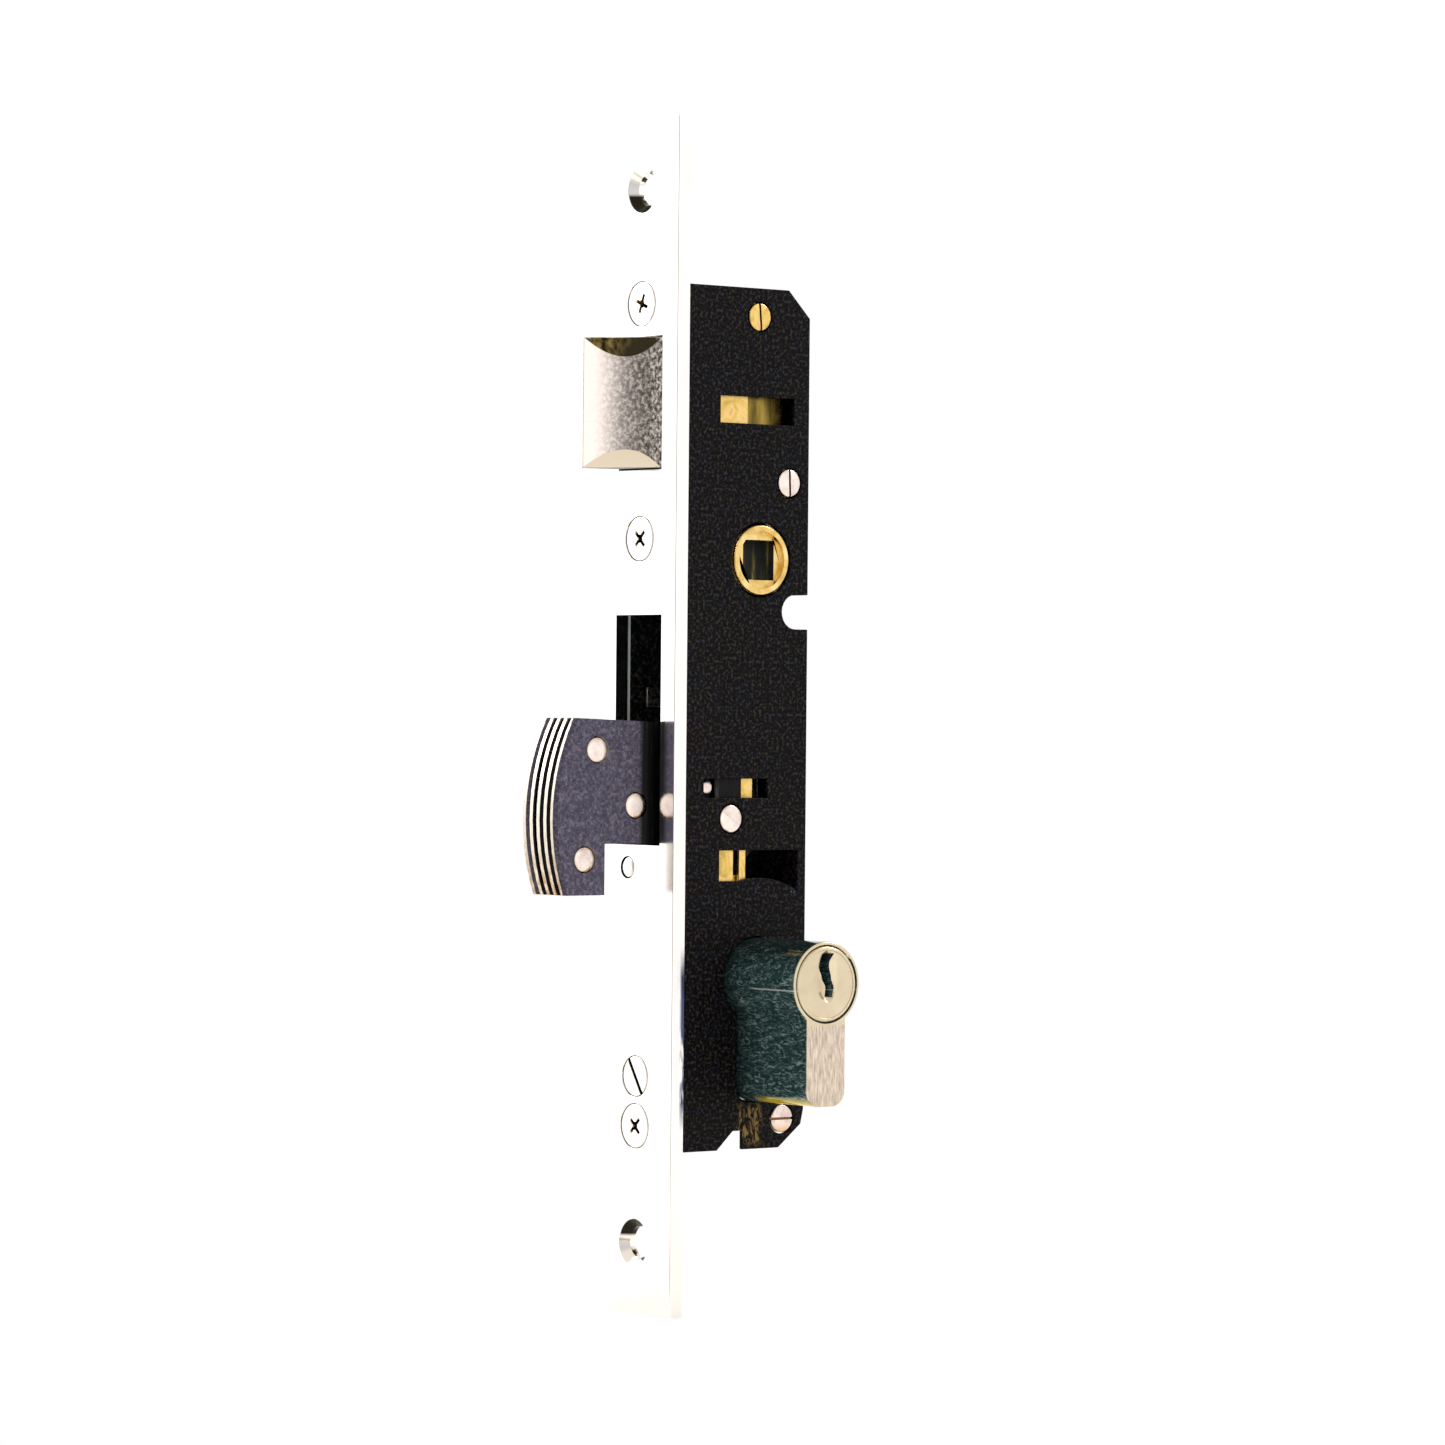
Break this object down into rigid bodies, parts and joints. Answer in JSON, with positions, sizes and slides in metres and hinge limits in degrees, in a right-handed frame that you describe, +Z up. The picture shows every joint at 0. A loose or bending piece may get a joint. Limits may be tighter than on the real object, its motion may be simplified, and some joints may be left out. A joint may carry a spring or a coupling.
{
  "type": "mortise lock",
  "caption": "Narrow-stile mortise lock: faceplate, flat case, bevelled spring latch, swinging laminated hook bolt and double euro-profile cylinder.",
  "frame": {"origin": "on the faceplate's front face, on its centre line, level with the cylinder's axis", "axes": "+X runs into the door away from the faceplate's front, +Z is up along the faceplate, the cover plate faces -Y"},
  "size_m": [0.0619, 0.0602, 0.24],
  "materials": {
    "polished_nickel": "mirror-polished nickel plate",
    "black_paint": "fine-textured black stove enamel",
    "zinc_steel": "bright zinc plate",
    "yellow_zinc": "yellow-passivated zinc plate",
    "cast_nickel": "nickel-plated casting, slightly grainy",
    "ground_steel": "ground edges of hardened plates",
    "dark_steel": "blackened steel, satin",
    "champagne_nickel": "satin nickel plate on brass",
    "brass": "plain brass",
    "spring_steel": "drawn spring wire"
  },
  "bodies": {
    "case": {"faceplate": "polished_nickel", "faceplate_screw_top": "zinc_steel", "faceplate_screw_middle": "zinc_steel", "faceplate_screw_bottom": "zinc_steel", "cylinder_screw": "zinc_steel", "face_rivet": "zinc_steel", "case_body": "black_paint", "case_cover": "black_paint", "front_lug_top": "zinc_steel", "front_lug_middle": "zinc_steel", "front_lug_bottom": "zinc_steel", "case_post_top": "yellow_zinc", "case_post_middle": "yellow_zinc", "case_post_bottom": "yellow_zinc", "case_screw_top": "yellow_zinc", "case_screw_middle": "zinc_steel", "case_screw_bottom": "zinc_steel", "bolt_pivot_pin": "zinc_steel", "detent_spring": "spring_steel", "latch_guide": "brass", "hub_spring": "spring_steel", "latch_spring": "spring_steel", "cylinder_body": "champagne_nickel", "driver_pin_1": "zinc_steel", "driver_pin_2": "zinc_steel", "driver_pin_3": "zinc_steel", "driver_pin_4": "zinc_steel", "driver_pin_5": "zinc_steel", "pin_spring_1": "spring_steel", "pin_spring_2": "spring_steel", "pin_spring_3": "spring_steel", "pin_spring_4": "spring_steel", "pin_spring_5": "spring_steel"},
    "hub": {"hub": "brass"},
    "latch": {"latch_head": "cast_nickel", "latch_tail": "yellow_zinc", "latch_pin": "zinc_steel"},
    "bolt": {"bolt_plate_1": "dark_steel", "bolt_plate_2": "ground_steel", "bolt_plate_3": "ground_steel", "bolt_plate_4": "ground_steel", "bolt_plate_5": "dark_steel", "bolt_rivet_upper": "zinc_steel", "bolt_rivet_middle": "zinc_steel", "bolt_rivet_lower": "zinc_steel", "drive_pin": "zinc_steel"},
    "drive_slide": {"drive_slide": "yellow_zinc", "slide_arm": "dark_steel", "slide_driver": "yellow_zinc"},
    "cylinder_plug": {"plug_near": "champagne_nickel", "plug_far": "champagne_nickel", "cam": "zinc_steel", "key_pin_1": "brass", "key_pin_2": "brass", "key_pin_3": "brass", "key_pin_4": "brass", "key_pin_5": "brass"}
  },
  "joints": [
    {"name": "hub_turn", "type": "hinge", "parent": "case", "child": "hub", "pos_m": [0.025, 0, 0.085], "axis": [0, 1, 0], "range_deg": [0, 31], "stiffness_Nm_per_rad": 0.3, "springref_deg": -8.59},
    {"name": "latch_slide", "type": "slide", "parent": "case", "child": "latch", "axis": [1, 0, 0], "range_m": [0, 0.0106], "deforming": ["latch_spring"]},
    {"name": "cylinder_turn", "type": "hinge", "parent": "case", "child": "cylinder_plug", "pos_m": [0.025, 0, 0], "axis": [0, 1, 0], "range_deg": [0, 360]},
    {"name": "bolt_swing", "type": "hinge", "parent": "case", "child": "bolt", "pos_m": [0.0178, 0, 0.0326], "axis": [0, 1, 0], "range_deg": [0, 86]},
    {"name": "drive_slide_travel", "type": "slide", "parent": "case", "child": "drive_slide", "axis": [1, 0, 0], "range_m": [0, 0.0113]}
  ],
  "couplings": [
    {"joint": "latch_slide", "follows": "hub_turn", "m_per_rad": 0.019591},
    {"joint": "bolt_swing", "follows": "cylinder_turn", "ratio": 0.23889},
    {"joint": "drive_slide_travel", "follows": "cylinder_turn", "m_per_rad": 0.0017985}
  ]
}
